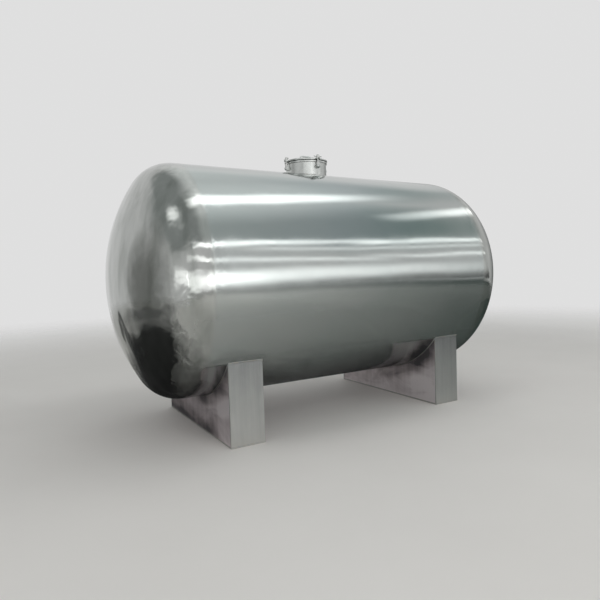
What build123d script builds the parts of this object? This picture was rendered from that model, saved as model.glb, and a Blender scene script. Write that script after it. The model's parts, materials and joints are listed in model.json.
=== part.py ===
"""Horizontal stainless steel water tank on two box saddles, with a clamped manway on top.

X runs along the tank, Y across it and Z up. The origin lies on the floor, midway between
the saddles and under the tank's axis. All lengths are in millimetres.
"""
import math
import os

from build123d import *

# Cylindrical shell, rolled in three courses.
SHELL_OUTER_DIAMETER = 2000.0
SHELL_WALL = 6.0
COURSE_LENGTH = 925.0
COURSE_NAMES = ("left_shell_course", "middle_shell_course", "right_shell_course")
GROUND_CLEARANCE = 290.0

# Dished heads: a flat-curved crown, a tight knuckle and a short straight flange.
HEAD_WALL = 6.0
HEAD_CROWN_RADIUS = 1600.0
HEAD_KNUCKLE_RADIUS = 308.0
HEAD_STRAIGHT_FLANGE = 25.0

# Box saddles of flat plate, set back from the sides of the shell and from its end welds.
SADDLE_SIDE_SETBACK = 220.0
SADDLE_END_SETBACK = 305.0
SADDLE_DEPTH = 290.0
SADDLE_PLATE = 8.0
SADDLE_BASE_PLATE = 10.0

# Manway neck with its rim, gasket and shallow domed cover.
NECK_OUTER_DIAMETER = 400.0
NECK_WALL = 6.0
NECK_HEIGHT = 106.0
RIM_OVERHANG = 8.0
RIM_THICKNESS = 14.0
GASKET_INSET = 1.5
GASKET_THICKNESS = 6.0
COVER_OVERHANG = 4.0
COVER_THICKNESS = 14.0
COVER_FLAT_RIM = 27.0
DOME_RISE = 16.0
DOME_WALL = 6.0

# Lifting handle, a bent rod on the dome.
HANDLE_SPAN = 120.0
HANDLE_HEIGHT = 44.0
HANDLE_ROD = 12.0
HANDLE_BEND = 16.0

# Four swing bolts that clamp the cover down.
BOLT_ANGLES = {"right": 0.0, "back": 90.0, "left": 180.0, "front": 270.0}
BOLT_DIAMETER = 16.0
BOLT_RIM_CLEARANCE = 4.0
BOLT_END = 6.0
EYE_RADIUS = 15.0
EYE_THICKNESS = 14.0
PIN_DIAMETER = 12.0
PIN_HEIGHT = 62.0
PIN_OVERHANG = 4.0
LUG_PLATE = 8.0
LUG_RADIUS = 17.0
EAR_RADIUS = 22.0
NUT_HUB_DIAMETER = 30.0
NUT_HUB_HEIGHT = 24.0
NUT_BAR_DIAMETER = 10.0
NUT_BAR_LENGTH = 84.0

# Fits: the root gap of a weld, a close sliding fit and a loose slot.
WELD_GAP = 0.3
PIN_CLEARANCE = 0.15
EYE_CLEARANCE = 1.0
SLOT_CLEARANCE = 1.5

shell_radius = SHELL_OUTER_DIAMETER / 2
shell_bore = shell_radius - SHELL_WALL
shell_end = len(COURSE_NAMES) * COURSE_LENGTH / 2
axis_height = GROUND_CLEARANCE + shell_radius
tank_axis = Axis((0, 0, axis_height), (1, 0, 0))
tank_section = Plane((0, 0, axis_height), x_dir=(1, 0, 0), z_dir=(0, -1, 0))
crown_height = axis_height + shell_radius
quarter_turn = 90.0

neck_radius = NECK_OUTER_DIAMETER / 2
neck_bore = neck_radius - NECK_WALL
rim_radius = neck_radius + RIM_OVERHANG
cover_radius = rim_radius + COVER_OVERHANG
neck_top = crown_height + NECK_HEIGHT
rim_top = neck_top + RIM_THICKNESS
gasket_top = rim_top + GASKET_THICKNESS
cover_top = gasket_top + COVER_THICKNESS
dome_edge = cover_radius - COVER_FLAT_RIM
dome_radius = (dome_edge**2 + DOME_RISE**2) / (2 * DOME_RISE)
dome_center = cover_top + DOME_RISE - dome_radius
bolt_circle = rim_radius + BOLT_RIM_CLEARANCE + BOLT_DIAMETER / 2
bolt_top = cover_top + NUT_HUB_HEIGHT + BOLT_END
pin_level = crown_height + PIN_HEIGHT
fork_gap = EYE_THICKNESS / 2 + EYE_CLEARANCE

os.makedirs("parts", exist_ok=True)


def save(builder, name):
    """Labels a finished piece and writes it to its own file."""
    builder.part.label = name
    export_step(builder.part, f"parts/{name}.step")


def radial_plane(angle):
    """The upright plane through the manway's axis and a bolt: x outwards, y up, at the pin's level."""
    turn = math.radians(angle)
    outwards = (math.cos(turn), math.sin(turn), 0)
    across = (math.sin(turn), -math.cos(turn), 0)
    return Plane((0, 0, pin_level), x_dir=outwards, z_dir=across)


# Shell courses, butted end to end; the middle one is holed for the manway's neck.
for index, course_name in enumerate(COURSE_NAMES):
    with BuildPart() as course:
        with BuildSketch(Plane.YZ.offset(index * COURSE_LENGTH - shell_end)):
            with Locations((0, axis_height)):
                Circle(shell_radius)
                Circle(shell_bore, mode=Mode.SUBTRACT)
        extrude(amount=COURSE_LENGTH)
        if course_name.startswith("middle"):
            with BuildSketch(Plane.XY.offset(axis_height)):
                Circle(neck_radius + WELD_GAP)
            extrude(amount=shell_radius, mode=Mode.SUBTRACT)
    save(course, course_name)

# Heads: the section of an even-walled dish turned about the tank's axis.
tangent_line = shell_end + HEAD_STRAIGHT_FLANGE
knuckle_center = (tangent_line, shell_radius - HEAD_KNUCKLE_RADIUS)
knuckle_reach = math.sqrt((HEAD_CROWN_RADIUS - HEAD_KNUCKLE_RADIUS) ** 2 - knuckle_center[1] ** 2)
crown_center = (tangent_line - knuckle_reach, 0)
crown_turn = math.degrees(math.atan2(knuckle_center[1], knuckle_reach))
with BuildPart() as right_head:
    with BuildSketch(tank_section):
        with BuildLine():
            skins = []
            for inset in (0, HEAD_WALL):
                flange = Line((shell_end, shell_radius - inset), (tangent_line, shell_radius - inset))
                CenterArc(knuckle_center, HEAD_KNUCKLE_RADIUS - inset, crown_turn, quarter_turn - crown_turn)
                crown = CenterArc(crown_center, HEAD_CROWN_RADIUS - inset, 0, crown_turn)
                skins.append((flange @ 0, crown @ 0))
            for outer_point, inner_point in zip(*skins):
                Line(outer_point, inner_point)
        make_face()
    revolve(axis=tank_axis)
save(right_head, "right_head")
with BuildPart() as left_head:
    mirror(right_head.part, about=Plane.YZ)
save(left_head, "left_head")

# Saddles: end plates and webs stand on a flush base plate, their tops cut to the shell's curve.
saddle_width = SHELL_OUTER_DIAMETER - 2 * SADDLE_SIDE_SETBACK
saddle_x = shell_end - SADDLE_END_SETBACK
end_plate_y = (saddle_width - SADDLE_PLATE) / 2
web_width = saddle_width - 2 * SADDLE_PLATE
web_x = (SADDLE_DEPTH - SADDLE_PLATE) / 2
for side, side_x in (("left", -saddle_x), ("right", saddle_x)):
    outer_web_x = side_x + math.copysign(web_x, side_x)
    inner_web_x = side_x - math.copysign(web_x, side_x)
    uprights = {
        "front_plate": (side_x, -end_plate_y, SADDLE_DEPTH, SADDLE_PLATE),
        "back_plate": (side_x, end_plate_y, SADDLE_DEPTH, SADDLE_PLATE),
        "outer_web": (outer_web_x, 0, SADDLE_PLATE, web_width),
        "inner_web": (inner_web_x, 0, SADDLE_PLATE, web_width),
    }
    for upright_name, (center_x, center_y, size_x, size_y) in uprights.items():
        with BuildPart() as upright:
            with BuildSketch(Plane.XY.offset(SADDLE_BASE_PLATE)):
                with Locations((center_x, center_y)):
                    Rectangle(size_x, size_y)
            extrude(amount=axis_height - SADDLE_BASE_PLATE)
            with BuildSketch(Plane.YZ.offset(side_x)):
                with Locations((0, axis_height)):
                    Circle(shell_radius + WELD_GAP)
            extrude(amount=SADDLE_DEPTH, both=True, mode=Mode.SUBTRACT)
        save(upright, f"{side}_saddle_{upright_name}")
    with BuildPart() as base_plate:
        with BuildSketch():
            with Locations((side_x, 0)):
                Rectangle(SADDLE_DEPTH, saddle_width)
        extrude(amount=SADDLE_BASE_PLATE)
    save(base_plate, f"{side}_saddle_base_plate")

# Manway neck, set into the shell and trimmed flush with its inside.
with BuildPart() as manway_neck:
    with BuildSketch(Plane.XY.offset(axis_height)):
        Circle(neck_radius)
        Circle(neck_bore, mode=Mode.SUBTRACT)
    extrude(amount=neck_top - axis_height)
    with BuildSketch(Plane.YZ):
        with Locations((0, axis_height)):
            Circle(shell_bore)
    extrude(amount=NECK_OUTER_DIAMETER, both=True, mode=Mode.SUBTRACT)
save(manway_neck, "manway_neck")

# Rim and gasket, flat rings stacked on the neck.
flat_rings = {
    "manway_rim": (neck_top, rim_radius, neck_bore, RIM_THICKNESS),
    "manway_gasket": (rim_top, rim_radius - GASKET_INSET, neck_bore + GASKET_INSET, GASKET_THICKNESS),
}
for ring_name, (ring_foot, ring_outer, ring_inner, ring_thickness) in flat_rings.items():
    with BuildPart() as ring:
        with BuildSketch(Plane.XY.offset(ring_foot)):
            Circle(ring_outer)
            Circle(ring_inner, mode=Mode.SUBTRACT)
        extrude(amount=ring_thickness)
    save(ring, ring_name)

# Cover: a flat rim with four slotted ears around a shallow dome that is hollow underneath.
with BuildPart() as manway_cover:
    with BuildSketch(Plane.XY.offset(gasket_top)):
        Circle(cover_radius)
        with PolarLocations(bolt_circle, len(BOLT_ANGLES)):
            Circle(EAR_RADIUS)
            Rectangle(bolt_circle, 2 * EAR_RADIUS, align=(Align.MAX, Align.CENTER))
        with PolarLocations(bolt_circle, len(BOLT_ANGLES)):
            Circle(BOLT_DIAMETER / 2 + SLOT_CLEARANCE, mode=Mode.SUBTRACT)
            Rectangle(
                2 * EAR_RADIUS,
                BOLT_DIAMETER + 2 * SLOT_CLEARANCE,
                align=(Align.MIN, Align.CENTER),
                mode=Mode.SUBTRACT,
            )
    extrude(amount=COVER_THICKNESS)
    for dome_skin, dome_mode in ((dome_radius, Mode.ADD), (dome_radius - DOME_WALL, Mode.SUBTRACT)):
        skin_edge = math.sqrt(dome_skin**2 - (gasket_top - dome_center) ** 2)
        skin_start = math.degrees(math.acos(min(skin_edge, dome_edge) / dome_skin))
        with BuildSketch(Plane.XZ):
            with BuildLine():
                dome_arc = CenterArc((0, dome_center), dome_skin, skin_start, quarter_turn - skin_start)
                Line(dome_arc @ 1, (0, gasket_top))
                Line((0, gasket_top), ((dome_arc @ 0).X, gasket_top))
                if (dome_arc @ 0).Y > gasket_top:
                    Line(((dome_arc @ 0).X, gasket_top), dome_arc @ 0)
            make_face()
        revolve(axis=Axis.Z, mode=dome_mode)
save(manway_cover, "manway_cover")

# Handle: a rod bent into a low bow, its feet cut to the dome.
with BuildPart() as cover_handle:
    with BuildLine(Plane.XZ):
        bow = FilletPolyline(
            (-HANDLE_SPAN / 2, cover_top),
            (-HANDLE_SPAN / 2, cover_top + DOME_RISE + HANDLE_HEIGHT - HANDLE_ROD / 2),
            (HANDLE_SPAN / 2, cover_top + DOME_RISE + HANDLE_HEIGHT - HANDLE_ROD / 2),
            (HANDLE_SPAN / 2, cover_top),
            radius=HANDLE_BEND,
        )
    with BuildSketch(Plane.XY.offset(cover_top)):
        with Locations((-HANDLE_SPAN / 2, 0)):
            Circle(HANDLE_ROD / 2)
    sweep(path=bow)
    with Locations((0, 0, dome_center)):
        Sphere(dome_radius + WELD_GAP, mode=Mode.SUBTRACT)
save(cover_handle, "cover_handle")

# Swing bolts: a forked lug on the neck, a pin, an eye bolt and a bar nut at each quarter.
for bolt_side, bolt_angle in BOLT_ANGLES.items():
    upright_plane = radial_plane(bolt_angle)
    bolt_spot = upright_plane.x_dir * bolt_circle

    with BuildPart() as lug:
        for cheek_start in (fork_gap, -fork_gap - LUG_PLATE):
            with BuildSketch(upright_plane.offset(cheek_start)):
                with Locations((bolt_circle, 0)):
                    Circle(LUG_RADIUS)
                    Rectangle(bolt_circle - neck_bore, 2 * LUG_RADIUS, align=(Align.MAX, Align.CENTER))
                    Circle(PIN_DIAMETER / 2 + PIN_CLEARANCE, mode=Mode.SUBTRACT)
            extrude(amount=LUG_PLATE)
        with BuildSketch(Plane.XY.offset(pin_level)):
            Circle(neck_radius + WELD_GAP)
        extrude(amount=2 * LUG_RADIUS, both=True, mode=Mode.SUBTRACT)
    save(lug, f"swing_lug_{bolt_side}")

    with BuildPart() as pin:
        with BuildSketch(upright_plane):
            with Locations((bolt_circle, 0)):
                Circle(PIN_DIAMETER / 2)
        extrude(amount=fork_gap + LUG_PLATE + PIN_OVERHANG, both=True)
    save(pin, f"swing_pin_{bolt_side}")

    with BuildPart() as eye_bolt:
        with BuildSketch(upright_plane):
            with Locations((bolt_circle, 0)):
                Circle(EYE_RADIUS)
        extrude(amount=EYE_THICKNESS / 2, both=True)
        with BuildSketch(Plane.XY.offset(pin_level)):
            with Locations(bolt_spot):
                Circle(BOLT_DIAMETER / 2)
        extrude(amount=bolt_top - pin_level)
        with BuildSketch(upright_plane):
            with Locations((bolt_circle, 0)):
                Circle(PIN_DIAMETER / 2 + PIN_CLEARANCE)
        extrude(amount=BOLT_DIAMETER, both=True, mode=Mode.SUBTRACT)
    save(eye_bolt, f"swing_bolt_{bolt_side}")

    with BuildPart() as bar_nut:
        with BuildSketch(Plane.XY.offset(cover_top)):
            with Locations(bolt_spot):
                Circle(NUT_HUB_DIAMETER / 2)
        extrude(amount=NUT_HUB_HEIGHT)
        with BuildSketch(upright_plane):
            with Locations((bolt_circle, cover_top + NUT_HUB_HEIGHT / 2 - pin_level)):
                Circle(NUT_BAR_DIAMETER / 2)
        extrude(amount=NUT_BAR_LENGTH / 2, both=True)
        with BuildSketch(Plane.XY.offset(cover_top)):
            with Locations(bolt_spot):
                Circle(BOLT_DIAMETER / 2 + PIN_CLEARANCE)
        extrude(amount=NUT_HUB_HEIGHT, mode=Mode.SUBTRACT)
    save(bar_nut, f"bar_nut_{bolt_side}")
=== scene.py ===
"""Looks of a horizontal stainless steel water tank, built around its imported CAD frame.

Metres, in the frame of the CAD model: X along the tank, Y across it and Z up from the floor.
"""
import json
import math

import bmesh
import bpy
from mathutils import Matrix, Vector
from mathutils import noise as random_field


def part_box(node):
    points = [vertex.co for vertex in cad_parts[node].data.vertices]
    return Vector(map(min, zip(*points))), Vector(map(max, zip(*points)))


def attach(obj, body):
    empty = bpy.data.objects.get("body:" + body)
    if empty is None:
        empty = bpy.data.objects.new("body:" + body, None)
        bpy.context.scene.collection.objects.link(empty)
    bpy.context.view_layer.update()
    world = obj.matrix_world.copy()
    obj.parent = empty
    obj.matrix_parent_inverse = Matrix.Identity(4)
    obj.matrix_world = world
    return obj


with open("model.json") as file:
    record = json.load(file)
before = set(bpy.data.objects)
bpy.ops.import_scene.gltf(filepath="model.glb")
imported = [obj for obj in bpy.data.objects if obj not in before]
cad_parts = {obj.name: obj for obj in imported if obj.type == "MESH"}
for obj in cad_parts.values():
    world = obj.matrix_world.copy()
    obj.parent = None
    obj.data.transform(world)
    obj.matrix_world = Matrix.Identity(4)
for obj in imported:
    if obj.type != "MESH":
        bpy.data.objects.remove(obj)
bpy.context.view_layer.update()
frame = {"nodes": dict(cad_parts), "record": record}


# Sizes, read from the CAD nodes

def corners(name):
    """Lowest and highest corner of a node's box."""
    low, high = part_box(name)
    return Vector(low), Vector(high)


course_low, course_high = corners("middle_shell_course")
neck_low, neck_high = corners("manway_neck")
SHELL_R = (course_high.y - course_low.y) / 2
AXIS_Z = (course_high.z + course_low.z) / 2
COURSE_SEAM_X = course_high.x
HEAD_SEAM_X = corners("right_head")[0].x
NECK_R = (neck_high.x - neck_low.x) / 2
NECK_TOP = neck_high.z
QUARTERS = {"right": 0.0, "back": 90.0, "left": 180.0, "front": 270.0}
UP = Vector((0.0, 0.0, 1.0))


# Node helpers

def new_material(name):
    """A material, its node tree and its Principled shader."""
    material = bpy.data.materials.new(name)
    material.use_nodes = True
    tree = material.node_tree
    return material, tree, tree.nodes["Principled BSDF"]


def node(tree, kind, inputs=None, **settings):
    """Adds a node; inputs are values or the sockets that feed them."""
    made = tree.nodes.new(kind)
    for key, value in settings.items():
        setattr(made, key, value)
    for key, value in (inputs or {}).items():
        if isinstance(value, bpy.types.NodeSocket):
            tree.links.new(value, made.inputs[key])
        else:
            made.inputs[key].default_value = value
    return made


def calc(tree, operation, *values):
    return node(tree, "ShaderNodeMath", dict(enumerate(values)), operation=operation).outputs[0]


def ramp(tree, factor, stops):
    made = node(tree, "ShaderNodeValToRGB", {"Fac": factor})
    elements = made.color_ramp.elements
    while len(elements) < len(stops):
        elements.new(1.0)
    for element, (place, color) in zip(elements, stops):
        element.position = place
        element.color = (*color, 1.0)
    return made.outputs["Color"]


def grey(value):
    return (value, value, value)


def place_of(tree):
    return node(tree, "ShaderNodeTexCoord").outputs["Object"]


def noise(tree, scale, detail=3.0, roughness=0.55, distortion=0.0, stretch=(1.0, 1.0, 1.0)):
    """Noise over the object's own coordinates; an uneven stretch turns it into grain."""
    mapping = node(tree, "ShaderNodeMapping", {"Vector": place_of(tree), "Scale": stretch})
    made = node(tree, "ShaderNodeTexNoise", {
        "Vector": mapping.outputs["Vector"], "Scale": scale, "Detail": detail,
        "Roughness": roughness, "Distortion": distortion})
    return made.outputs["Fac"]


def spread(tree, factor, low, high, start=0.0, stop=1.0, kind="LINEAR"):
    """Carries factor from the range start to stop over to the range low to high."""
    made = node(tree, "ShaderNodeMapRange", {
        "Value": factor, "From Min": start, "From Max": stop, "To Min": low, "To Max": high,
    }, interpolation_type=kind)
    return made.outputs["Result"]


def blend(tree, factor, first, second):
    """Mixes two colours, given as values or sockets."""
    sides = {key: value if isinstance(value, bpy.types.NodeSocket) else (*value, 1.0)
             for key, value in (("A", first), ("B", second))}
    made = node(tree, "ShaderNodeMix", {"Factor": factor}, data_type="RGBA")
    for socket in made.inputs:
        if socket.type == "RGBA" and socket.name in sides:
            value = sides[socket.name]
            if isinstance(value, bpy.types.NodeSocket):
                tree.links.new(value, socket)
            else:
                socket.default_value = value
    return next(socket for socket in made.outputs if socket.type == "RGBA")


def bump(tree, height, distance, below=None):
    inputs = {"Height": height, "Distance": distance}
    if below is not None:
        inputs["Normal"] = below
    return node(tree, "ShaderNodeBump", inputs).outputs["Normal"]


def distance(tree, centre=(0.0, 0.0, 0.0), radii=(1.0, 1.0, 1.0)):
    """Distance from a centre, in shares of the radii."""
    away = node(tree, "ShaderNodeVectorMath", {0: place_of(tree), 1: centre}, operation="SUBTRACT")
    shares = node(tree, "ShaderNodeVectorMath", {0: away.outputs["Vector"], 1: radii}, operation="DIVIDE")
    length = node(tree, "ShaderNodeVectorMath", {0: shares.outputs["Vector"]}, operation="LENGTH")
    return length.outputs["Value"]


def near_seam(tree, seam_x, reach):
    """1 on the girth seams at plus and minus seam_x, falling to 0 at reach from them."""
    x = node(tree, "ShaderNodeSeparateXYZ", {"Vector": place_of(tree)}).outputs["X"]
    off = calc(tree, "ABSOLUTE", calc(tree, "SUBTRACT", calc(tree, "ABSOLUTE", x), seam_x))
    return spread(tree, off, 1.0, 0.0, 0.0, reach, "SMOOTHSTEP")


# Materials

# A radius that keeps its axis out of a distance
UNBOUNDED = 1e6
HEAD_WELD_REACH = 0.028
COURSE_WELD_REACH = 0.014
PULL_REACH = 0.16
KNUCKLE_REACH = 0.18
RINGS_PER_METRE = 260.0
WELD_TINT = (0.43, 0.45, 0.435)


def shell_sheet():
    """Polished sheet: fine grain around the tank and slow waves.

    Its ground welds pull the sheet in a little.
    """
    material, tree, shader = new_material("shell_sheet")
    cloud = noise(tree, 2.2, detail=4.0, stretch=(0.7, 1.6, 1.6))
    grain = noise(tree, 1.0, detail=2.0, stretch=(420.0, 9.0, 9.0))
    smudge = noise(tree, 7.0, detail=5.0, roughness=0.6, distortion=0.6, stretch=(1.0, 1.0, 0.45))
    head_weld = near_seam(tree, HEAD_SEAM_X, HEAD_WELD_REACH)
    course_weld = near_seam(tree, COURSE_SEAM_X, COURSE_WELD_REACH)
    weld = calc(tree, "MAXIMUM", head_weld, calc(tree, "MULTIPLY", course_weld, 0.25))
    scuff = noise(tree, 260.0, detail=3.0, stretch=(1.0, 0.25, 0.25))
    tint = ramp(tree, cloud, [(0.3, (0.425, 0.458, 0.447)), (0.7, (0.458, 0.482, 0.470))])
    tint = blend(tree, calc(tree, "MULTIPLY", weld, scuff), tint, WELD_TINT)
    rough = spread(tree, smudge, 0.09, 0.155, 0.3, 0.75)
    rough = calc(tree, "MULTIPLY_ADD", weld, 0.05, rough)
    shader.inputs["Metallic"].default_value = 1.0
    tree.links.new(tint, shader.inputs["Base Color"])
    tree.links.new(rough, shader.inputs["Roughness"])
    waves = noise(tree, 1.5, detail=1.5, stretch=(0.55, 1.5, 1.5))
    pull = noise(tree, 9.0, detail=2.0, stretch=(1.6, 1.0, 1.0))
    pulled = calc(tree, "MULTIPLY", near_seam(tree, HEAD_SEAM_X, PULL_REACH), pull)
    normal = bump(tree, waves, 0.007)
    normal = bump(tree, pulled, 0.0014, normal)
    normal = bump(tree, calc(tree, "MULTIPLY", weld, scuff), 0.0002, normal)
    tree.links.new(bump(tree, grain, 0.00004, normal), shader.inputs["Normal"])
    return material


def polished_head():
    """Mirror-polished dish: rings from the polishing wheel and upright streaks.

    Its lower half is dented, most of all along the hammered knuckle.
    """
    material, tree, shader = new_material("polished_head")
    off_axis = distance(tree, (0.0, 0.0, AXIS_Z), (UNBOUNDED, 1.0, 1.0))
    ring = calc(tree, "MULTIPLY", off_axis, RINGS_PER_METRE)
    rings = node(tree, "ShaderNodeTexNoise", {
        "W": ring, "Scale": 1.0, "Detail": 2.0,
    }, noise_dimensions="1D")
    cloud = noise(tree, 3.0, detail=5.0, roughness=0.6, distortion=0.4)
    streaks = noise(tree, 6.0, detail=2.5, roughness=0.5, distortion=0.5, stretch=(1.3, 1.3, 0.35))
    weld = near_seam(tree, HEAD_SEAM_X, HEAD_WELD_REACH)
    scuff = noise(tree, 260.0, detail=3.0, stretch=(1.0, 0.25, 0.25))
    tint = ramp(tree, streaks, [
        (0.32, (0.355, 0.371, 0.352)), (0.50, (0.430, 0.445, 0.428)), (0.68, (0.485, 0.497, 0.481))])
    tint = blend(tree, calc(tree, "MULTIPLY", weld, scuff), tint, WELD_TINT)
    rough = spread(tree, cloud, 0.05, 0.15, 0.3, 0.75)
    rough = calc(tree, "MULTIPLY_ADD", weld, 0.06, rough)
    shader.inputs["Metallic"].default_value = 1.0
    tree.links.new(tint, shader.inputs["Base Color"])
    tree.links.new(rough, shader.inputs["Roughness"])
    up = node(tree, "ShaderNodeSeparateXYZ", {"Vector": place_of(tree)}).outputs["Z"]
    low = spread(tree, up, 1.0, 0.3, AXIS_Z - 0.35, AXIS_Z + 0.1, "SMOOTHSTEP")
    knuckle = calc(tree, "MULTIPLY", near_seam(tree, HEAD_SEAM_X + KNUCKLE_REACH, KNUCKLE_REACH), low)
    hammering = noise(tree, 7.0, detail=2.0, roughness=0.5, distortion=0.4, stretch=(1.0, 1.0, 0.8))
    hammered = calc(tree, "MULTIPLY", knuckle, hammering)
    denting = noise(tree, 4.5, detail=1.0, roughness=0.4, stretch=(1.0, 1.0, 0.7))
    dents = calc(tree, "MULTIPLY", low, denting)
    normal = bump(tree, noise(tree, 3.2, detail=2.0), 0.004)
    normal = bump(tree, dents, 0.014, normal)
    normal = bump(tree, hammered, 0.016, normal)
    normal = bump(tree, calc(tree, "MULTIPLY", weld, scuff), 0.0002, normal)
    tree.links.new(bump(tree, rings.outputs["Fac"], 0.00003, normal), shader.inputs["Normal"])
    return material


def saddle_plate():
    """Brushed end plate: upright grain and streaks, painted shade under the tank that darkens it towards
    its top, and pale dust along its foot.
    """
    material, tree, shader = new_material("saddle_plate")
    cloud = noise(tree, 4.0, detail=5.0, roughness=0.6, distortion=0.6, stretch=(1.0, 1.0, 0.5))
    streaks = noise(tree, 1.0, detail=3.0, roughness=0.6, distortion=0.3, stretch=(20.0, 20.0, 0.7))
    grain = noise(tree, 1.0, detail=3.0, stretch=(210.0, 210.0, 2.0))
    up = node(tree, "ShaderNodeSeparateXYZ", {"Vector": place_of(tree)}).outputs["Z"]
    # Painted shade: the plate is painted darker towards its top, where the shell above shades it
    shaded_tone = calc(tree, "MULTIPLY_ADD", cloud, 0.25, spread(tree, up, 0.55, 0.0, 0.05, 0.65))
    shaded_tone = calc(tree, "MULTIPLY_ADD", streaks, 0.16, shaded_tone)
    shaded_tone = calc(tree, "MULTIPLY_ADD", grain, 0.22, shaded_tone)
    tint = ramp(tree, shaded_tone, [(0.25, (0.222, 0.232, 0.232)), (0.95, (0.63, 0.634, 0.612))])
    foot = spread(tree, up, 0.6, 0.0, 0.0, 0.12, "SMOOTHSTEP")
    dust = calc(tree, "MULTIPLY", foot, noise(tree, 40.0, detail=5.0, roughness=0.65))
    tint = blend(tree, dust, tint, (0.62, 0.60, 0.56))
    shader.inputs["Metallic"].default_value = 1.0
    tree.links.new(tint, shader.inputs["Base Color"])
    rough = calc(tree, "MULTIPLY_ADD", dust, 0.3, spread(tree, grain, 0.40, 0.52, 0.3, 0.7))
    tree.links.new(rough, shader.inputs["Roughness"])
    normal = bump(tree, noise(tree, 2.5, detail=2.0), 0.004)
    tree.links.new(bump(tree, grain, 0.00006, normal), shader.inputs["Normal"])
    return material


def saddle_web():
    """Dull wavy web plate: warm blotches along it, upright rub marks and painted shade in its top corners
    under the shell.

    Towards the left end it is darker along its foot and carries a painted highlight near its front;
    towards the right end it is painted lighter.
    """
    material, tree, shader = new_material("saddle_web")
    stain = noise(tree, 6.0, detail=3.0, roughness=0.5, distortion=0.6, stretch=(1.0, 0.4, 1.0))
    rubbed = noise(tree, 1.0, detail=2.0, stretch=(1.0, 16.0, 1.2))
    smear = noise(tree, 14.0, detail=4.0, roughness=0.6, distortion=0.5)
    off_axis = distance(tree, (0.0, 0.0, AXIS_Z), (UNBOUNDED, SHELL_R, SHELL_R))
    place = node(tree, "ShaderNodeSeparateXYZ", {"Vector": place_of(tree)})
    along, across = place.outputs["X"], place.outputs["Y"]
    # Painted shade: darker near the shell's underside, most in the front and back top corners and towards
    # the right end
    belly_shade = spread(tree, off_axis, 0.34, 0.0, 1.0, 1.2, "SMOOTHSTEP")
    belly_shade = calc(tree, "MULTIPLY", belly_shade, calc(tree, "MULTIPLY_ADD", along, 0.22, 1.0))
    corner = spread(tree, calc(tree, "ABSOLUTE", across), 0.65, 1.5, 0.35, 0.62)
    belly_shade = calc(tree, "MULTIPLY", belly_shade, corner)
    rear = spread(tree, across, -0.12, 0.10, -0.75, 0.6)
    mixed = calc(tree, "MULTIPLY_ADD", rubbed, 0.20, calc(tree, "MULTIPLY_ADD", stain, 0.8, 0.08))
    mixed = calc(tree, "SUBTRACT", calc(tree, "SUBTRACT", mixed, belly_shade), rear)
    # Painted light: the web is painted a little lighter towards the right end
    mixed = calc(tree, "MULTIPLY_ADD", along, 0.08, mixed)
    left = spread(tree, along, 1.0, 0.0, -0.9, 0.9)
    foot = spread(tree, place.outputs["Z"], 0.30, 0.0, 0.0, 0.16, "SMOOTHSTEP")
    foot = calc(tree, "MULTIPLY", foot, spread(tree, across, 0.0, 1.0, -0.58, -0.3))
    # Painted highlight: a pale patch near the front at mid-height, a painted reflection of the bright
    # floor, on the web towards the left end
    off_highlight = distance(tree, (0.0, -0.58, 0.29), (UNBOUNDED, 0.3, 0.12))
    painted_highlight = spread(tree, off_highlight, 0.16, 0.0, 0.2, 1.0, "SMOOTHSTEP")
    mixed = calc(tree, "MULTIPLY_ADD", left, calc(tree, "SUBTRACT", painted_highlight, foot), mixed)
    tint = ramp(tree, mixed, [
        (0.22, (0.13, 0.12, 0.13)), (0.40, (0.42, 0.37, 0.38)),
        (0.56, (0.68, 0.615, 0.63)), (0.70, (0.88, 0.82, 0.835))])
    shader.inputs["Metallic"].default_value = 0.6
    tree.links.new(tint, shader.inputs["Base Color"])
    tree.links.new(spread(tree, smear, 0.30, 0.42, 0.3, 0.7), shader.inputs["Roughness"])
    tree.links.new(bump(tree, noise(tree, 2.4, detail=1.0, roughness=0.4), 0.014), shader.inputs["Normal"])
    return material


def small_steel(name, dark, light, rough):
    """Turned or drawn small steel with fine marks and finger smears."""
    material, tree, shader = new_material(name)
    smear = noise(tree, 16.0, detail=4.0, roughness=0.55, distortion=0.5)
    grain = noise(tree, 1.0, detail=2.0, stretch=(40.0, 40.0, 900.0))
    shader.inputs["Metallic"].default_value = 1.0
    tree.links.new(ramp(tree, smear, [(0.3, dark), (0.7, light)]), shader.inputs["Base Color"])
    mixed = calc(tree, "MULTIPLY_ADD", grain, 0.5, calc(tree, "MULTIPLY", smear, 0.5))
    tree.links.new(spread(tree, mixed, rough * 0.6, rough * 1.4, 0.3, 0.7), shader.inputs["Roughness"])
    tree.links.new(bump(tree, grain, 0.00003), shader.inputs["Normal"])
    return material


def weld_metal():
    """Weld bead: dull bright metal with straw and blue heat colours."""
    material, tree, shader = new_material("weld_metal")
    heat = noise(tree, 45.0, detail=4.0, roughness=0.6, distortion=0.4)
    tint = ramp(tree, heat, [
        (0.3, (0.44, 0.45, 0.47)), (0.5, (0.52, 0.515, 0.50)), (0.68, (0.54, 0.505, 0.455))])
    shader.inputs["Metallic"].default_value = 1.0
    tree.links.new(tint, shader.inputs["Base Color"])
    tree.links.new(spread(tree, heat, 0.28, 0.48, 0.3, 0.7), shader.inputs["Roughness"])
    tree.links.new(bump(tree, noise(tree, 420.0, detail=3.0), 0.0002), shader.inputs["Normal"])
    return material


def gasket_rubber():
    """Black rubber with fine specks."""
    material, tree, shader = new_material("gasket_rubber")
    specks = noise(tree, 160.0, detail=4.0)
    tree.links.new(ramp(tree, specks, [(0.3, grey(0.02)), (0.8, grey(0.05))]), shader.inputs["Base Color"])
    tree.links.new(spread(tree, specks, 0.6, 0.85), shader.inputs["Roughness"])
    tree.links.new(bump(tree, specks, 0.0004), shader.inputs["Normal"])
    return material


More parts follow.
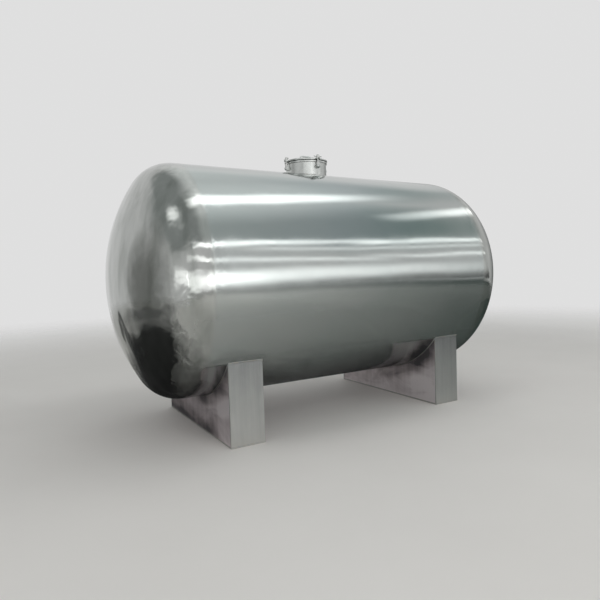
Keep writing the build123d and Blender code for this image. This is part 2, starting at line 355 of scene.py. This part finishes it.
MATERIALS = {
    "shell_sheet": shell_sheet(),
    "polished_head": polished_head(),
    "saddle_plate": saddle_plate(),
    "manway_steel": small_steel("manway_steel", (0.47, 0.49, 0.475), (0.57, 0.585, 0.57), 0.18),
    "bolt_steel": small_steel("bolt_steel", (0.50, 0.51, 0.50), (0.64, 0.645, 0.63), 0.19),
    "gasket_rubber": gasket_rubber(),
}
WEB_MATERIAL = saddle_web()
WELD_MATERIAL = weld_metal()

for subpart in frame["record"]["subparts"]:
    carried = frame["nodes"][subpart["node"]]
    carried.data.materials.clear()
    finish = WEB_MATERIAL if subpart["node"].endswith("_web") else MATERIALS[subpart["material_slot"]]
    carried.data.materials.append(finish)


# Edges and shading, without touching the nodes' meshes

MERGE_REACH = 0.00001
SHARP_ANGLE = math.radians(40)
PLATE_EASE = 0.0014
RING_EASE = 0.0012


def join_faces(carried):
    """Joins the faces of a node, which arrive with their corners apart."""
    joined = carried.modifiers.new("join_faces", "WELD")
    joined.merge_threshold = MERGE_REACH


def smooth_dish(name):
    """Shades a head evenly right up to its middle, where its triangles meet in one point."""
    carried = frame["nodes"][name]
    join_faces(carried)
    rim = carried.modifiers.new("keep_rim", "EDGE_SPLIT")
    rim.split_angle = SHARP_ANGLE
    carried.modifiers.new("even_shading", "WEIGHTED_NORMAL")


def ease_edges(name, width):
    """Plates and rings lose their knife edges."""
    carried = frame["nodes"][name]
    join_faces(carried)
    eased = carried.modifiers.new("eased_edges", "BEVEL")
    eased.width = width
    eased.segments = 2
    eased.limit_method = "ANGLE"
    eased.angle_limit = SHARP_ANGLE
    eased.harden_normals = True


for subpart in frame["record"]["subparts"]:
    if subpart["material_slot"] == "saddle_plate":
        ease_edges(subpart["node"], PLATE_EASE)
for ring_name in ("manway_rim", "manway_cover"):
    ease_edges(ring_name, RING_EASE)
for head_name in ("left_head", "right_head"):
    smooth_dish(head_name)


# Meshes swept along a path

def sweep(path, frames, profile, closed=False):
    """Vertices and faces of a profile of (u, v) points carried along a path.

    frames gives the u axis and the v axis at each point of the path.
    """
    count, width = len(path), len(profile)
    verts = [point + u * u_axis + v * v_axis
             for point, (u_axis, v_axis) in zip(path, frames) for u, v in profile]
    faces = []
    for i in range(count if closed else count - 1):
        here, there = i * width, (i + 1) % count * width
        for j in range(width):
            k = (j + 1) % width
            faces.append((here + j, here + k, there + k, there + j))
    if not closed:
        faces.append(tuple(range(width - 1, -1, -1)))
        faces.append(tuple(range((count - 1) * width, count * width)))
    return verts, faces


def add_piece(name, sweeps, material):
    """Joins sweeps into one smooth mesh that rides on the tank."""
    verts, faces = [], []
    for part_verts, part_faces in sweeps:
        start = len(verts)
        verts += part_verts
        faces += [tuple(start + index for index in face) for face in part_faces]
    mesh = bpy.data.meshes.new(name)
    mesh.from_pydata(verts, [], faces)
    shape = bmesh.new()
    shape.from_mesh(mesh)
    bmesh.ops.recalc_face_normals(shape, faces=shape.faces)
    shape.to_mesh(mesh)
    shape.free()
    mesh.materials.append(material)
    # The sides of a sweep are quads, and its ends stay flat
    mesh.polygons.foreach_set("use_smooth", [len(polygon.vertices) == 4 for polygon in mesh.polygons])
    piece = bpy.data.objects.new(name, mesh)
    bpy.context.collection.objects.link(piece)
    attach(piece, "root")


# Welds

FILLET = [(0.0, 0.0), (1.0, 0.0), (0.74, 0.36), (0.56, 0.56), (0.36, 0.74), (0.0, 1.0)]
CAP = [(-1.0, -0.15), (1.0, -0.15), (0.62, 0.30), (0.0, 0.42), (-0.62, 0.30)]
RIPPLE_PITCH = 0.0055
RIPPLE_STEPS = 3
RIPPLE_SHARE = 0.08
DRIFT_SHARE = 0.10
DRIFT_SCALE = 38.0
FEWEST_POINTS = 4


def weld_bead(curve, length, size, profile, closed=False):
    """A rippled bead along a curve of a known length.

    curve(share) gives a point and the two directions of its section, share running from 0 to 1.
    """
    count = max(FEWEST_POINTS, round(length / RIPPLE_PITCH) * RIPPLE_STEPS)
    steps = count if closed else count - 1
    path, frames = [], []
    for i in range(count):
        point, u_axis, v_axis = curve(i / steps)
        ripple = RIPPLE_SHARE * math.cos(math.tau * i / RIPPLE_STEPS)
        drift = DRIFT_SHARE * random_field.noise(point * DRIFT_SCALE)
        thick = size * (1.0 + ripple + drift)
        path.append(point)
        frames.append((u_axis * thick, v_axis * thick))
    return sweep(path, frames, profile, closed)


def straight_bead(start, end, u_axis, v_axis, size, profile):
    start, end, u_axis, v_axis = map(Vector, (start, end, u_axis, v_axis))
    length = (end - start).length
    return weld_bead(lambda share: (start.lerp(end, share), u_axis, v_axis), length, size, profile)


SADDLE_LEG = 0.0065
SEAM_WIDTH = 0.0045
WELD_STOP = 0.004


def saddle_welds(side):
    """Beads where one saddle's plates meet the shell, each other and the base plate."""
    front_low, front_high = corners(f"{side}_saddle_front_plate")
    base_low, base_high = corners(f"{side}_saddle_base_plate")
    foot_z = base_high.z
    outside_y = -front_low.y
    web_reach = outside_y - (front_high.y - front_low.y)
    side_top = AXIS_Z - math.sqrt(SHELL_R ** 2 - outside_y ** 2)
    turn = math.asin(web_reach / SHELL_R)
    beads = []
    for face_x, out in ((base_low.x, -1.0), (base_high.x, 1.0)):
        outward = Vector((out, 0.0, 0.0))

        def web_top(share, face_x=face_x, outward=outward):
            angle = turn * (2.0 * share - 1.0)
            away = Vector((0.0, math.sin(angle), -math.cos(angle)))
            return Vector((face_x, 0.0, AXIS_Z)) + away * SHELL_R, away, outward

        beads.append(weld_bead(web_top, 2.0 * turn * SHELL_R, SADDLE_LEG, FILLET))
        for joint_y in (-web_reach, web_reach):
            start, end = (face_x, joint_y, foot_z), (face_x, joint_y, side_top - WELD_STOP)
            beads.append(straight_bead(start, end, (0.0, 1.0, 0.0), outward, SEAM_WIDTH, CAP))
        start, end = (face_x, -outside_y, foot_z), (face_x, outside_y, foot_z)
        beads.append(straight_bead(start, end, UP, outward, SEAM_WIDTH, CAP))
    for out in (-1.0, 1.0):
        edge_y = out * outside_y
        slope = Vector((0.0, out * (AXIS_Z - side_top), outside_y)).normalized()
        start, end = (base_low.x, edge_y, side_top), (base_high.x, edge_y, side_top)
        beads.append(straight_bead(start, end, -UP, slope, SADDLE_LEG, FILLET))
        start, end = (base_low.x, edge_y, foot_z), (base_high.x, edge_y, foot_z)
        beads.append(straight_bead(start, end, UP, (0.0, out, 0.0), SEAM_WIDTH, CAP))
    add_piece(f"{side}_saddle_welds", beads, WELD_MATERIAL)


for saddle_side in ("left", "right"):
    saddle_welds(saddle_side)


# Manway: welds, bolt threads and split pins

NECK_LEG = 0.006
RIM_LEG = 0.004
LUG_LEG = 0.0035
FOOT_LEG = 0.003


def level_way(angle):
    """The level direction at an angle from X, in radians."""
    return Vector((math.cos(angle), math.sin(angle), 0.0))


def neck_foot(share):
    """The curve where the neck meets the round shell."""
    out = level_way(math.tau * share)
    point = out * NECK_R
    normal = Vector((0.0, point.y, math.sqrt(SHELL_R ** 2 - point.y ** 2))) / SHELL_R
    point.z = AXIS_Z + normal.z * SHELL_R
    return point, (out - normal * out.dot(normal)).normalized(), UP


def neck_rim(share):
    """The circle where the neck meets its rim."""
    out = level_way(-math.tau * share)
    return out * NECK_R + UP * NECK_TOP, out, -UP


def quarter_axes(angle):
    """The outward and the sideways direction at an angle around the neck, in degrees."""
    turn = math.radians(angle)
    return level_way(turn), Vector((-math.sin(turn), math.cos(turn), 0.0))


def half_width(low, high, across):
    """Half the width of a box along one of its level sides."""
    return (high - low).dot(Vector(map(abs, across))) / 2


def lug_welds():
    """An upright bead on both sides of each lug's foot."""
    beads = []
    for side, angle in QUARTERS.items():
        out, across = quarter_axes(angle)
        low, high = corners(f"swing_lug_{side}")
        half = half_width(low, high, across)
        for hand in (-1.0, 1.0):
            foot = out * math.sqrt(NECK_R ** 2 - half ** 2) + across * hand * half
            start, end = foot + UP * low.z, foot + UP * high.z
            beads.append(straight_bead(start, end, out, across * hand, LUG_LEG, FILLET))
    return beads


def handle_feet():
    """A bead around each foot of the cover's handle."""
    low, high = corners("cover_handle")
    rod = (high.y - low.y) / 2
    beads = []
    for foot_x in (low.x + rod, high.x - rod):
        def foot(share, foot_x=foot_x):
            out = level_way(math.tau * share)
            return Vector((foot_x, 0.0, low.z)) + out * rod, out, UP

        beads.append(weld_bead(foot, math.tau * rod, FOOT_LEG, FILLET, closed=True))
    return beads


neck_bead = weld_bead(neck_foot, math.tau * NECK_R, NECK_LEG, FILLET, closed=True)
rim_bead = weld_bead(neck_rim, math.tau * NECK_R, RIM_LEG, FILLET, closed=True)
add_piece("neck_weld", [neck_bead], WELD_MATERIAL)
add_piece("rim_weld", [rim_bead], WELD_MATERIAL)
add_piece("lug_welds", lug_welds(), WELD_MATERIAL)
add_piece("handle_welds", handle_feet(), WELD_MATERIAL)


THREAD_PITCH = 0.002
THREAD_STEPS = 20
THREAD_RIDGE = [(-0.0004, -0.0009), (0.0006, 0.0), (-0.0004, 0.0009)]
BOLT_TIP = 0.001


def bolt_thread(side, angle):
    """A helical ridge along the upper end of one swing bolt."""
    across = quarter_axes(angle)[1]
    low, high = corners(f"swing_bolt_{side}")
    rod = half_width(low, high, across)
    axis = (low + high) / 2
    turns = (high.z - BOLT_TIP - NECK_TOP) / THREAD_PITCH
    path, frames = [], []
    for i in range(round(turns * THREAD_STEPS)):
        away = level_way(math.tau * i / THREAD_STEPS)
        height = NECK_TOP + THREAD_PITCH * i / THREAD_STEPS
        path.append(Vector((axis.x, axis.y, height)) + away * rod)
        frames.append((away, UP))
    return sweep(path, frames, THREAD_RIDGE)


PIN_WIRE = 0.0006
PIN_INSET = 0.002
PIN_LEG = [(-0.0030, -0.0110), (-0.0014, -0.0085), (-0.0006, -0.0065), (-0.0006, 0.0066)]
PIN_EYE_HEIGHT = 0.0090
PIN_EYE_RADIUS = 0.0024
PIN_EYE_STEPS = 9
PIN_EYE_START = 235
PIN_EYE_TURN = 290
WIRE_SIDES = 8
WIRE_ANGLES = [math.tau * k / WIRE_SIDES for k in range(WIRE_SIDES)]
WIRE_SECTION = [(math.cos(angle), math.sin(angle)) for angle in WIRE_ANGLES]


def split_pin(centre, out, across):
    """A bent wire through the end of a hinge pin: an eye above it and two spread legs below."""
    eye = []
    for k in range(PIN_EYE_STEPS):
        angle = math.radians(PIN_EYE_START - PIN_EYE_TURN * k / (PIN_EYE_STEPS - 1))
        eye.append((PIN_EYE_RADIUS * math.cos(angle), PIN_EYE_HEIGHT + PIN_EYE_RADIUS * math.sin(angle)))
    outline = PIN_LEG + eye + [(-u, v) for u, v in reversed(PIN_LEG)]
    path = [centre + out * u + UP * v for u, v in outline]
    frames = []
    for i in range(len(path)):
        along = (path[min(i + 1, len(path) - 1)] - path[max(i - 1, 0)]).normalized()
        frames.append((across * PIN_WIRE, along.cross(across) * PIN_WIRE))
    return sweep(path, frames, WIRE_SECTION)


def split_pins():
    """A split pin at both ends of each hinge pin."""
    wires = []
    for side, angle in QUARTERS.items():
        out, across = quarter_axes(angle)
        low, high = corners(f"swing_pin_{side}")
        reach = half_width(low, high, across) - PIN_INSET
        for hand in (-1.0, 1.0):
            wires.append(split_pin((low + high) / 2 + across * hand * reach, out, across))
    return wires


add_piece("bolt_threads", [bolt_thread(side, angle) for side, angle in QUARTERS.items()],
          MATERIALS["bolt_steel"])
add_piece("split_pins", split_pins(), MATERIALS["bolt_steel"])


# Stage: the floor, and dark cards that only reflections show

FLOOR_REACH = 18.0
FLOOR_FADE = (4.0, 15.0)
CARD_LIFT = 0.02
# Cards that overlap lie this far apart
CARD_STEP = 0.01
LINE_CARD_Z = 0.05
UNDER_SHADE_CARD_Z = AXIS_Z - SHELL_R - 0.03
LEFT_WALL_X = -7.5
RIGHT_WALL_Y = -11.0
RIGHT_END_X = 7.5


def floor_material():
    """Pale floor that melts into the backdrop with distance, so that no horizon shows."""
    material, tree, shader = new_material("studio_floor")
    mottle = noise(tree, 0.8, detail=5.0)
    tint = ramp(tree, mottle, [(0.3, (0.795, 0.765, 0.738)), (0.7, (0.825, 0.795, 0.768))])
    tree.links.new(tint, shader.inputs["Base Color"])
    shader.inputs["Roughness"].default_value = 0.75
    fade = spread(tree, distance(tree), 1.0, 0.0, *FLOOR_FADE, "SMOOTHSTEP")
    tree.links.new(fade, shader.inputs["Alpha"])
    return material


def flat_mesh(name, outline, material):
    """One flat face inside an outline of points."""
    mesh = bpy.data.meshes.new(name)
    mesh.from_pydata(outline, [], [range(len(outline))])
    mesh.materials.append(material)
    piece = bpy.data.objects.new(name, mesh)
    bpy.context.collection.objects.link(piece)
    return piece


def dark_card(name, outline, tone, cover, centre, radii, core, ragged=0.0):
    """Dark card that covers most within the share core of its radii and nothing beyond them.

    ragged frays its edge.
    """
    material, tree, shader = new_material(name)
    shader.inputs["Base Color"].default_value = (*tone, 1.0)
    shader.inputs["Roughness"].default_value = 0.9
    off = distance(tree, centre, radii)
    if ragged:
        fray = calc(tree, "SUBTRACT", noise(tree, 2.4, detail=4.0), 0.5)
        off = calc(tree, "MULTIPLY_ADD", fray, ragged, off)
    tree.links.new(spread(tree, off, cover, 0.0, core, 1.0), shader.inputs["Alpha"])
    card = flat_mesh(name, outline, material)
    card.visible_camera = False
    card.visible_diffuse = False
    card.visible_shadow = False
    card.visible_transmission = False


def level_corners(x, y, z):
    """Corners of a level card between two X and two Y values."""
    return [(x[0], y[0], z), (x[1], y[0], z), (x[1], y[1], z), (x[0], y[1], z)]


def upright_corners(start, end, height):
    """Corners of an upright card that stands on the floor from start to end."""
    return [(*start, 0.0), (*end, 0.0), (*end, height), (*start, height)]


floor_span = (-FLOOR_REACH, FLOOR_REACH)
flat_mesh("studio_floor", level_corners(floor_span, floor_span, 0.0), floor_material())
dark_card("left_card", level_corners((-7.0, 1.8), (-2.4, 3.1), CARD_LIFT + CARD_STEP), grey(0.01),
          cover=0.985, centre=(-2.7, 0.45, 0.0), radii=(2.85, 2.1, 1.0), core=0.45, ragged=0.45)
dark_card("right_card", level_corners((-2.0, 9.8), (-5.1, 5.1), CARD_LIFT), (0.035, 0.062, 0.052),
          cover=0.97, centre=(3.9, 0.0, 0.0), radii=(5.8, 5.0, 1.0), core=0.28)
dark_card("front_card", level_corners((0.8, 15.2), (-12.2, 1.2), CARD_LIFT + 3 * CARD_STEP),
          (0.03, 0.06, 0.048),
          cover=0.92, centre=(8.0, -5.5, 0.0), radii=(7.0, 6.5, 1.0), core=0.2)
# Painted shade: a dark sheet just under the tank, seen only in reflections, stands for the shade beneath
# it
dark_card("under_shade_card", level_corners((-2.2, 4.0), (-0.9, 0.9), UNDER_SHADE_CARD_Z), (0.03, 0.026, 0.034),
          cover=0.9, centre=(0.7, 0.0, 0.0), radii=(2.9, 0.85, 1.0), core=0.05)
dark_card("far_card", level_corners((LEFT_WALL_X, -3.0), (-1.4, 5.4), CARD_LIFT + 2 * CARD_STEP),
          grey(0.05),
          cover=0.8, centre=(-6.3, 2.0, 0.0), radii=(3.2, 3.2, 1.0), core=0.4)
line_outline = [(x, y, LINE_CARD_Z) for x, y in ((-2.0, 0.9), (-2.7, 0.9), (-5.6, 7.0), (-4.7, 7.0))]
dark_card("line_card", line_outline, grey(0.04),
          cover=0.8, centre=(-3.5, 3.6, LINE_CARD_Z), radii=(4.5, 4.5, 1.0), core=0.6)
dark_card("right_wall_card", upright_corners((0.0, RIGHT_WALL_Y), (26.0, RIGHT_WALL_Y), 2.4), grey(0.05),
          cover=0.95, centre=(20.0, RIGHT_WALL_Y, -0.8), radii=(19.0, 1.0, 3.1), core=0.4)
dark_card("left_wall_card", upright_corners((LEFT_WALL_X, -1.0), (LEFT_WALL_X, 7.0), 5.5),
          (0.075, 0.08, 0.065),
          cover=0.7, centre=(LEFT_WALL_X, 2.9, 1.2), radii=(1.0, 3.8, 4.2), core=0.3, ragged=0.45)
dark_card("right_end_card", upright_corners((RIGHT_END_X, -3.5), (RIGHT_END_X, 13.0), 6.0),
          (0.03, 0.045, 0.038),
          cover=0.9, centre=(RIGHT_END_X, 4.5, 0.0), radii=(1.0, 8.0, 6.0), core=0.4)


# Light

FRONT_Y = -7.0
OVERHEAD_Z = 5.0
GLOW_Z = 5.05
SIDE_EDGE = 0.45
TANK_MIDDLE = (0.0, 0.0, AXIS_Z)


def set_axes(thing, place, x_axis, y_axis, z_axis):
    """Puts a lamp or the camera at a place, turned to three axes."""
    thing.matrix_world = Matrix.Translation(place) @ Matrix((x_axis, y_axis, z_axis)).transposed().to_4x4()


def softbox(name, start, end, width, radiance, fade=1.0, aim=TANK_MIDDLE, ends=0.14):
    """A strip softbox from start to end, facing aim.

    Its edges are soft, over the share ends of its length; fade is what is left of its light at the end.
    """
    start, end = Vector(start), Vector(end)
    data = bpy.data.lights.new(name, "AREA")
    data.shape = "RECTANGLE"
    data.size, data.size_y = (end - start).length, width
    data.energy = radiance * math.pi * data.size * data.size_y
    data.use_nodes = True
    tree = data.node_tree
    surface = node(tree, "ShaderNodeNewGeometry").outputs["Parametric"]
    painted_highlight = node(tree, "ShaderNodeSeparateXYZ", {"Vector": surface})
    along, across = painted_highlight.outputs["X"], painted_highlight.outputs["Y"]

    def soft(value, edge):
        """1 in the middle, falling to 0 within edge of both ends."""
        off = calc(tree, "ABSOLUTE", calc(tree, "SUBTRACT", value, 0.5))
        return spread(tree, off, 0.0, 1.0, 0.5, 0.5 - edge, "SMOOTHSTEP")

    level = calc(tree, "MULTIPLY", soft(across, SIDE_EDGE), soft(along, ends))
    level = calc(tree, "MULTIPLY", level, spread(tree, along, 1.0, fade))
    tree.links.new(level, tree.nodes["Emission"].inputs["Strength"])
    lamp = bpy.data.objects.new(name, data)
    bpy.context.collection.objects.link(lamp)
    middle = (start + end) / 2
    length_axis = (end - start).normalized()
    back = middle - Vector(aim)
    back = (back - back.dot(length_axis) * length_axis).normalized()
    set_axes(lamp, middle, length_axis, back.cross(length_axis), back)
    lamp.visible_camera = False


softbox("overhead_strip", (-2.3, -1.95, OVERHEAD_Z), (3.9, 0.25, OVERHEAD_Z),
        width=0.98, radiance=4.6, fade=0.0, ends=0.38)
softbox("overhead_glow", (-2.6, -2.05, GLOW_Z), (4.4, 0.43, GLOW_Z),
        width=4.0, radiance=0.78, fade=0.15, ends=0.42)
softbox("overhead_far_strip", (2.9, -2.35, OVERHEAD_Z), (6.4, -0.25, OVERHEAD_Z),
        width=0.9, radiance=0.3, fade=9.0)
softbox("high_left_strip", (0.2, FRONT_Y, 5.3), (7.4, FRONT_Y, 6.9),
        width=1.0, radiance=2.9, fade=0.2)
softbox("high_right_strip", (5.2, FRONT_Y, 6.1), (12.4, FRONT_Y, 7.0),
        width=1.0, radiance=1.6)
softbox("high_lower_strip", (1.5, FRONT_Y, 4.75), (11.4, FRONT_Y, 5.75),
        width=0.7, radiance=0.8, fade=0.9)
softbox("middle_left_strip", (-0.4, FRONT_Y, 3.62), (5.9, FRONT_Y, 3.3),
        width=0.75, radiance=1.6, fade=0.3)
softbox("middle_right_strip", (4.6, FRONT_Y, 3.75), (10.6, FRONT_Y, 4.3),
        width=0.75, radiance=0.3, fade=5.0)
softbox("level_left_strip", (-8.5, FRONT_Y, 1.5), (2.4, FRONT_Y, 1.5),
        width=2.2, radiance=1.2, fade=1.2)
softbox("level_right_strip", (-0.8, FRONT_Y, 1.45), (10.5, FRONT_Y, 2.35),
        width=2.2, radiance=1.75, fade=0.0)
softbox("back_softbox", (-2.2, 2.0, 6.4), (7.6, 2.0, 6.4),
        width=6.2, radiance=0.42, fade=0.0)
softbox("high_end_strip", (-4.7, FRONT_Y, 5.95), (1.2, FRONT_Y, 5.55),
        width=1.0, radiance=0.8, fade=3.5)
softbox("middle_end_strip", (-8.0, FRONT_Y, 4.3), (0.9, FRONT_Y, 3.6),
        width=0.8, radiance=0.4, fade=4.0)
softbox("level_end_strip", (-7.5, -1.0, 1.65), (-7.5, -8.4, 1.9),
        width=1.9, radiance=0.8, fade=1.8)
softbox("spot_softbox", (-6.4, 0.7, OVERHEAD_Z), (-3.0, -2.7, OVERHEAD_Z),
        width=2.0, radiance=1.3, aim=(-1.6, -0.8, 1.8), ends=0.45)


def studio_world():
    """A pale surround under a darker ceiling, which reaches lower at the sides and in front."""
    world = bpy.data.worlds.new("studio_world")
    bpy.context.scene.world = world
    world.use_nodes = True
    tree = world.node_tree
    generated = node(tree, "ShaderNodeTexCoord").outputs["Generated"]
    way = node(tree, "ShaderNodeSeparateXYZ", {"Vector": generated})
    x, y, z = (way.outputs[axis] for axis in "XYZ")
    ceiling = ramp(tree, x, [
        (0.0, (0.34, 0.36, 0.355)), (0.28, (0.575, 0.605, 0.597)),
        (0.58, (0.41, 0.455, 0.472)), (0.74, (0.165, 0.255, 0.24))])
    far_side = calc(tree, "MINIMUM", calc(tree, "MULTIPLY", y, 0.7), 0.25)
    side = calc(tree, "MAXIMUM", calc(tree, "MULTIPLY", y, -0.9), far_side)
    right_lift = calc(tree, "MULTIPLY", side, calc(tree, "MAXIMUM", x, 0.0))
    left_lift = calc(tree, "MULTIPLY", x, -0.5)
    front_lift = calc(tree, "MINIMUM", calc(tree, "MULTIPLY", y, -0.36), 0.22)
    lift = calc(tree, "MAXIMUM", calc(tree, "MAXIMUM", right_lift, left_lift), front_lift)
    rise = spread(tree, calc(tree, "ADD", lift, z), 0.0, 1.0, 0.70, 0.88, "SMOOTHSTEP")
    tree.links.new(blend(tree, rise, grey(0.74), ceiling), tree.nodes["Background"].inputs["Color"])


studio_world()


# Camera, where the photograph was taken from

CAMERA_PLACE = (-2.7008, -4.3794, 1.336)
CAMERA_YAW, CAMERA_PITCH, CAMERA_ROLL = (math.radians(angle) for angle in (30.543, -3.054, -1.804))
FOCAL_PIXELS, FRAME_PIXELS = 511.17, 600.0
SENSOR_WIDTH = 36.0

camera_data = bpy.data.cameras.new("camera")
camera = bpy.data.objects.new("camera", camera_data)
bpy.context.collection.objects.link(camera)
camera_data.sensor_width = SENSOR_WIDTH
camera_data.lens = FOCAL_PIXELS / FRAME_PIXELS * SENSOR_WIDTH
forward = Vector((
    math.sin(CAMERA_YAW) * math.cos(CAMERA_PITCH),
    math.cos(CAMERA_YAW) * math.cos(CAMERA_PITCH),
    math.sin(CAMERA_PITCH)))
level = Vector((math.cos(CAMERA_YAW), -math.sin(CAMERA_YAW), 0.0))
upward = level.cross(forward)
right = math.cos(CAMERA_ROLL) * level + math.sin(CAMERA_ROLL) * upward
top = math.cos(CAMERA_ROLL) * upward - math.sin(CAMERA_ROLL) * level
set_axes(camera, CAMERA_PLACE, right, top, -forward)
bpy.context.scene.camera = camera

bpy.context.scene.view_settings.view_transform = "Standard"
